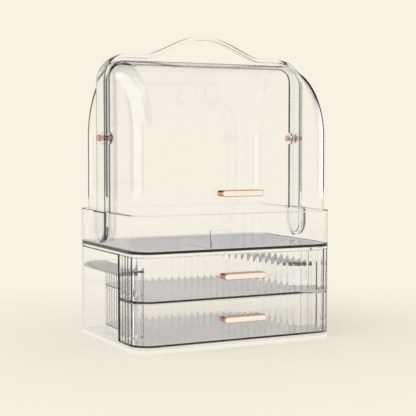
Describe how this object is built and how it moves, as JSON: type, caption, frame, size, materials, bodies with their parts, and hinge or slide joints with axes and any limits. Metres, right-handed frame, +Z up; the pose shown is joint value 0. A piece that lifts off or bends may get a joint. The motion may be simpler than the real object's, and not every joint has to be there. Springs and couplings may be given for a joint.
{
  "type": "dustproof makeup organizer",
  "caption": "Clear tabletop makeup organizer: fluted pull-out drawers in a case, a tray under a flip-up dust cover, and a carrying handle over the top.",
  "frame": {"origin": "centre of the case's flat underside", "axes": "+Z up; -Y towards the user, the way the drawers open; +X to the right seen from the front"},
  "size_m": [0.3174, 0.2399, 0.4231],
  "materials": {
    "clear_plastic": "clear, moulded",
    "rose_gold": "polished, rose gold",
    "screw_steel": "bright zinc"
  },
  "bodies": {
    "root": {"case": "clear_plastic", "left_ledge": "clear_plastic", "right_ledge": "clear_plastic", "tray": "clear_plastic", "back_cover": "clear_plastic", "handle": "clear_plastic", "left_hinge_pin": "rose_gold", "right_hinge_pin": "rose_gold", "left_pin_cap": "rose_gold", "right_pin_cap": "rose_gold", "left_spacer": "clear_plastic", "right_spacer": "clear_plastic"},
    "lid": {"front_lid": "clear_plastic", "lid_pull": "rose_gold", "lid_pull_left_screw": "screw_steel", "lid_pull_right_screw": "screw_steel"},
    "upper_drawer_body": {"upper_drawer": "clear_plastic", "upper_pull": "rose_gold", "upper_pull_left_screw": "screw_steel", "upper_pull_right_screw": "screw_steel"},
    "lower_drawer_body": {"lower_drawer": "clear_plastic", "lower_pull": "rose_gold", "lower_pull_left_screw": "screw_steel", "lower_pull_right_screw": "screw_steel"},
    "divider": {"tray_divider": "clear_plastic"}
  },
  "joints": [
    {"name": "lid_hinge", "type": "hinge", "parent": "root", "child": "lid", "pos_m": [0, 0, 0.279], "axis": [-1, 0, 0], "range_deg": [0, 91]},
    {"name": "upper_drawer_slide", "type": "slide", "parent": "root", "child": "upper_drawer_body", "axis": [0, -1, 0], "range_m": [0, 0.12]},
    {"name": "lower_drawer_slide", "type": "slide", "parent": "root", "child": "lower_drawer_body", "axis": [0, -1, 0], "range_m": [0, 0.12]},
    {"name": "divider_lift", "type": "slide", "parent": "root", "child": "divider", "axis": [0, 0, 1], "range_m": [0, 0.018]}
  ]
}
